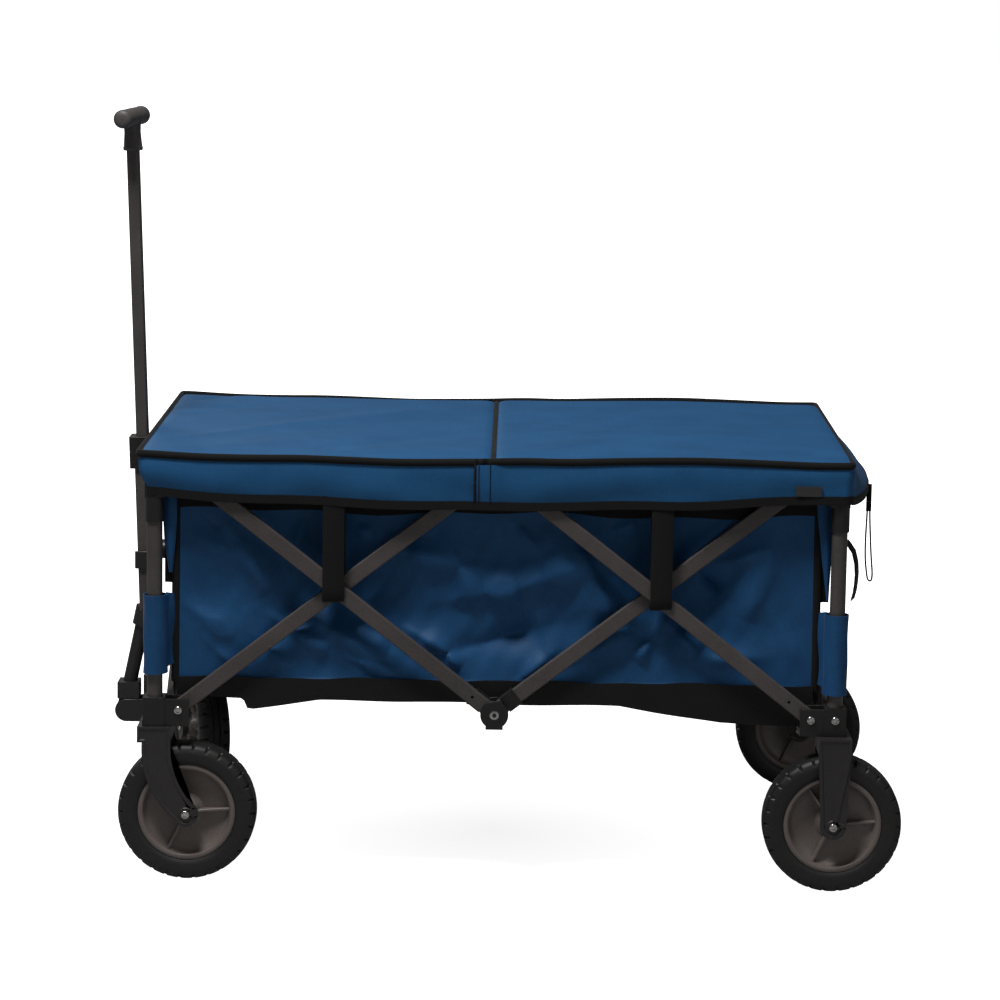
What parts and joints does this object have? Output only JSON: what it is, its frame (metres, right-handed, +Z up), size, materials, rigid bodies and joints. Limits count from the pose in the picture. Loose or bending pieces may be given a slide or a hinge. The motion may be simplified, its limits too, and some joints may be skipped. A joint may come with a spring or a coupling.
{
  "type": "folding beach cart",
  "caption": "Folding utility wagon: scissor steel frame, blue fabric basket and split lid, swivel front casters, fixed rear wheels and an upright telescoping pull handle.",
  "frame": {"origin": "on the ground under the middle of the overall box", "axes": "+X from the pull handle to the rear, +Y across to the far side, +Z up"},
  "size_m": [1.0405, 0.5743, 0.9775],
  "materials": {
    "frame_steel": "satin dark grey powder coat",
    "bracket_plastic": "moulded, fine texture",
    "fork_plastic": "moulded, fine texture",
    "fasteners": "zinc plated",
    "tyre": "soft black tread",
    "rim_plastic": "dark grey moulding",
    "mount_steel": "satin black",
    "handle_steel": "satin black",
    "inner_tube_steel": "satin dark grey",
    "grip_plastic": "moulded grip",
    "basket_fabric": "blue woven polyester",
    "lid_fabric": "blue woven polyester over stiff board",
    "cord": "thin braided black cord"
  },
  "bodies": {
    "corner_front_near": {"post_front_near": "frame_steel", "lower_bracket_front_near": "bracket_plastic", "bolts_front_near": "fasteners", "liner": "basket_fabric"},
    "upper_front_near": {"upper_bracket_front_near": "bracket_plastic", "inner_post_front_near": "frame_steel"},
    "corner_front_far": {"post_front_far": "frame_steel", "lower_bracket_front_far": "bracket_plastic", "bolts_front_far": "fasteners"},
    "upper_front_far": {"upper_bracket_front_far": "bracket_plastic", "inner_post_front_far": "frame_steel"},
    "corner_rear_near": {"post_rear_near": "frame_steel", "lower_bracket_rear_near": "bracket_plastic", "bolts_rear_near": "fasteners", "rear_fork_near": "fork_plastic"},
    "upper_rear_near": {"upper_bracket_rear_near": "bracket_plastic", "inner_post_rear_near": "frame_steel"},
    "corner_rear_far": {"post_rear_far": "frame_steel", "lower_bracket_rear_far": "bracket_plastic", "bolts_rear_far": "fasteners", "rear_fork_far": "fork_plastic"},
    "upper_rear_far": {"upper_bracket_rear_far": "bracket_plastic", "inner_post_rear_far": "frame_steel"},
    "near_front_inner": {"strut_near_front_inner": "frame_steel"},
    "near_front_outer": {"strut_near_front_outer": "frame_steel"},
    "near_rear_inner": {"strut_near_rear_inner": "frame_steel"},
    "near_rear_outer": {"strut_near_rear_outer": "frame_steel"},
    "foot_near": {"mid_foot_near": "bracket_plastic"},
    "top_near": {"mid_top_near": "bracket_plastic"},
    "far_front_inner": {"strut_far_front_inner": "frame_steel"},
    "far_front_outer": {"strut_far_front_outer": "frame_steel"},
    "far_rear_inner": {"strut_far_rear_inner": "frame_steel"},
    "far_rear_outer": {"strut_far_rear_outer": "frame_steel"},
    "foot_far": {"mid_foot_far": "bracket_plastic"},
    "top_far": {"mid_top_far": "bracket_plastic"},
    "end_front_inner": {"strut_front_inner": "frame_steel"},
    "end_front_outer": {"strut_front_outer": "frame_steel"},
    "end_rear_inner": {"strut_rear_inner": "frame_steel"},
    "end_rear_outer": {"strut_rear_outer": "frame_steel"},
    "handle_mount": {"handle_mount": "mount_steel"},
    "handle_lower": {"handle_arm": "handle_steel", "handle_outer_tube": "handle_steel", "handle_collar": "grip_plastic"},
    "handle_upper": {"handle_inner_tube": "inner_tube_steel", "grip": "grip_plastic"},
    "caster_near": {"caster_fork_near": "fork_plastic", "axle_bolt_front_near": "fasteners"},
    "caster_far": {"caster_fork_far": "fork_plastic", "axle_bolt_front_far": "fasteners"},
    "wheel_front_near": {"tyre_front_near": "tyre", "rim_front_near": "rim_plastic"},
    "wheel_front_far": {"tyre_front_far": "tyre", "rim_front_far": "rim_plastic"},
    "wheel_rear_near": {"tyre_rear_near": "tyre", "rim_rear_near": "rim_plastic"},
    "wheel_rear_far": {"tyre_rear_far": "tyre", "rim_rear_far": "rim_plastic"},
    "lid_front_half": {"lid_front": "lid_fabric"},
    "lid_rear_half": {"lid_rear": "lid_fabric", "pull_cord": "cord"}
  },
  "joints": [
    {"name": "fold", "type": "hinge", "parent": "corner_front_near", "child": "near_front_inner", "pos_m": [-0.404, -0.252, 0.225], "axis": [0, -1, 0], "range_deg": [0, 40], "deforming": ["liner"]},
    {"name": "near_front_cross", "type": "hinge", "parent": "near_front_inner", "child": "near_front_outer", "pos_m": [-0.202, -0.252, 0.383], "axis": [0, 1, 0], "range_deg": [0, 80]},
    {"name": "upper_front_near_pivot", "type": "hinge", "parent": "near_front_outer", "child": "upper_front_near", "pos_m": [-0.404, -0.252, 0.541], "axis": [0, -1, 0], "range_deg": [0, 40]},
    {"name": "foot_near_pivot", "type": "hinge", "parent": "near_front_outer", "child": "foot_near", "pos_m": [0, -0.252, 0.225], "axis": [0, -1, 0], "range_deg": [0, 40]},
    {"name": "top_near_pivot", "type": "hinge", "parent": "near_front_inner", "child": "top_near", "pos_m": [0, -0.252, 0.541], "axis": [0, 1, 0], "range_deg": [0, 40]},
    {"name": "near_rear_pivot", "type": "hinge", "parent": "near_front_outer", "child": "near_rear_inner", "pos_m": [0, -0.252, 0.225], "axis": [0, -1, 0], "range_deg": [0, 80]},
    {"name": "near_rear_cross", "type": "hinge", "parent": "near_rear_inner", "child": "near_rear_outer", "pos_m": [0.202, -0.252, 0.383], "axis": [0, 1, 0], "range_deg": [0, 80]},
    {"name": "corner_rear_near_pivot", "type": "hinge", "parent": "near_rear_outer", "child": "corner_rear_near", "pos_m": [0.404, -0.252, 0.225], "axis": [0, -1, 0], "range_deg": [0, 40]},
    {"name": "upper_rear_near_pivot", "type": "hinge", "parent": "near_rear_inner", "child": "upper_rear_near", "pos_m": [0.404, -0.252, 0.541], "axis": [0, 1, 0], "range_deg": [0, 40]},
    {"name": "end_front_pivot", "type": "hinge", "parent": "corner_front_near", "child": "end_front_inner", "pos_m": [-0.4255, -0.202, 0.225], "axis": [1, 0, 0], "range_deg": [0, 40]},
    {"name": "end_front_cross", "type": "hinge", "parent": "end_front_inner", "child": "end_front_outer", "pos_m": [-0.4255, 0, 0.383], "axis": [-1, 0, 0], "range_deg": [0, 80]},
    {"name": "corner_front_far_pivot", "type": "hinge", "parent": "end_front_outer", "child": "corner_front_far", "pos_m": [-0.4255, 0.202, 0.225], "axis": [1, 0, 0], "range_deg": [0, 40]},
    {"name": "upper_front_far_pivot", "type": "hinge", "parent": "end_front_inner", "child": "upper_front_far", "pos_m": [-0.4255, 0.202, 0.541], "axis": [-1, 0, 0], "range_deg": [0, 40]},
    {"name": "handle_mount_pivot", "type": "hinge", "parent": "end_front_inner", "child": "handle_mount", "pos_m": [-0.4255, 0, 0.383], "axis": [-1, 0, 0], "range_deg": [0, 40]},
    {"name": "end_rear_pivot", "type": "hinge", "parent": "corner_rear_near", "child": "end_rear_inner", "pos_m": [0.4255, -0.202, 0.225], "axis": [1, 0, 0], "range_deg": [0, 40]},
    {"name": "end_rear_cross", "type": "hinge", "parent": "end_rear_inner", "child": "end_rear_outer", "pos_m": [0.4255, 0, 0.383], "axis": [-1, 0, 0], "range_deg": [0, 80]},
    {"name": "corner_rear_far_pivot", "type": "hinge", "parent": "end_rear_outer", "child": "corner_rear_far", "pos_m": [0.4255, 0.202, 0.225], "axis": [1, 0, 0], "range_deg": [0, 40]},
    {"name": "upper_rear_far_pivot", "type": "hinge", "parent": "end_rear_inner", "child": "upper_rear_far", "pos_m": [0.4255, 0.202, 0.541], "axis": [-1, 0, 0], "range_deg": [0, 40]},
    {"name": "far_front_pivot", "type": "hinge", "parent": "corner_front_far", "child": "far_front_inner", "pos_m": [-0.404, 0.252, 0.225], "axis": [0, -1, 0], "range_deg": [0, 40]},
    {"name": "far_front_cross", "type": "hinge", "parent": "far_front_inner", "child": "far_front_outer", "pos_m": [-0.202, 0.252, 0.383], "axis": [0, 1, 0], "range_deg": [0, 80]},
    {"name": "foot_far_pivot", "type": "hinge", "parent": "far_front_outer", "child": "foot_far", "pos_m": [0, 0.252, 0.225], "axis": [0, -1, 0], "range_deg": [0, 40]},
    {"name": "top_far_pivot", "type": "hinge", "parent": "far_front_inner", "child": "top_far", "pos_m": [0, 0.252, 0.541], "axis": [0, 1, 0], "range_deg": [0, 40]},
    {"name": "far_rear_pivot", "type": "hinge", "parent": "far_front_outer", "child": "far_rear_inner", "pos_m": [0, 0.252, 0.225], "axis": [0, -1, 0], "range_deg": [0, 80]},
    {"name": "far_rear_cross", "type": "hinge", "parent": "far_rear_inner", "child": "far_rear_outer", "pos_m": [0.202, 0.252, 0.383], "axis": [0, 1, 0], "range_deg": [0, 80]},
    {"name": "caster_near_swivel", "type": "hinge", "parent": "corner_front_near", "child": "caster_near", "pos_m": [-0.435, -0.24, 0.2], "axis": [0, 0, 1], "continuous": true},
    {"name": "caster_far_swivel", "type": "hinge", "parent": "corner_front_far", "child": "caster_far", "pos_m": [-0.435, 0.24, 0.2], "axis": [0, 0, 1], "continuous": true},
    {"name": "wheel_front_near_spin", "type": "hinge", "parent": "caster_near", "child": "wheel_front_near", "pos_m": [-0.394, -0.24, 0.089], "axis": [0, 1, 0], "continuous": true},
    {"name": "wheel_front_far_spin", "type": "hinge", "parent": "caster_far", "child": "wheel_front_far", "pos_m": [-0.42098, 0.20147, 0.089], "axis": [0.9397, 0.342, 0], "continuous": true},
    {"name": "wheel_rear_near_spin", "type": "hinge", "parent": "corner_rear_near", "child": "wheel_rear_near", "pos_m": [0.435, -0.251, 0.089], "axis": [0, 1, 0], "continuous": true},
    {"name": "wheel_rear_far_spin", "type": "hinge", "parent": "corner_rear_far", "child": "wheel_rear_far", "pos_m": [0.435, 0.251, 0.089], "axis": [0, 1, 0], "continuous": true},
    {"name": "handle_pivot", "type": "hinge", "parent": "handle_mount", "child": "handle_lower", "pos_m": [-0.501, 0, 0.162], "axis": [0, -1, 0], "range_deg": [0, 95]},
    {"name": "handle_slide", "type": "slide", "parent": "handle_lower", "child": "handle_upper", "axis": [-0.0326, 0, 0.9995], "range_m": [-0.17, 0]},
    {"name": "lid_lift", "type": "slide", "parent": "upper_front_near", "child": "lid_front_half", "axis": [0, 0, 1], "range_m": [0, 0.35]},
    {"name": "lid_fold", "type": "hinge", "parent": "lid_front_half", "child": "lid_rear_half", "pos_m": [-0.006, 0, 0.561], "axis": [0, -1, 0], "range_deg": [0, 150]}
  ],
  "couplings": [
    {"joint": "near_front_cross", "follows": "fold", "ratio": 2},
    {"joint": "upper_front_near_pivot", "follows": "fold", "ratio": 1},
    {"joint": "foot_near_pivot", "follows": "fold", "ratio": 1},
    {"joint": "top_near_pivot", "follows": "fold", "ratio": 1},
    {"joint": "near_rear_pivot", "follows": "fold", "ratio": 2},
    {"joint": "near_rear_cross", "follows": "fold", "ratio": 2},
    {"joint": "corner_rear_near_pivot", "follows": "fold", "ratio": 1},
    {"joint": "upper_rear_near_pivot", "follows": "fold", "ratio": 1},
    {"joint": "end_front_pivot", "follows": "fold", "ratio": 1},
    {"joint": "end_front_cross", "follows": "fold", "ratio": 2},
    {"joint": "corner_front_far_pivot", "follows": "fold", "ratio": 1},
    {"joint": "upper_front_far_pivot", "follows": "fold", "ratio": 1},
    {"joint": "handle_mount_pivot", "follows": "fold", "ratio": 1},
    {"joint": "end_rear_pivot", "follows": "fold", "ratio": 1},
    {"joint": "end_rear_cross", "follows": "fold", "ratio": 2},
    {"joint": "corner_rear_far_pivot", "follows": "fold", "ratio": 1},
    {"joint": "upper_rear_far_pivot", "follows": "fold", "ratio": 1},
    {"joint": "far_front_pivot", "follows": "fold", "ratio": 1},
    {"joint": "far_front_cross", "follows": "fold", "ratio": 2},
    {"joint": "foot_far_pivot", "follows": "fold", "ratio": 1},
    {"joint": "top_far_pivot", "follows": "fold", "ratio": 1},
    {"joint": "far_rear_pivot", "follows": "fold", "ratio": 2},
    {"joint": "far_rear_cross", "follows": "fold", "ratio": 2}
  ]
}
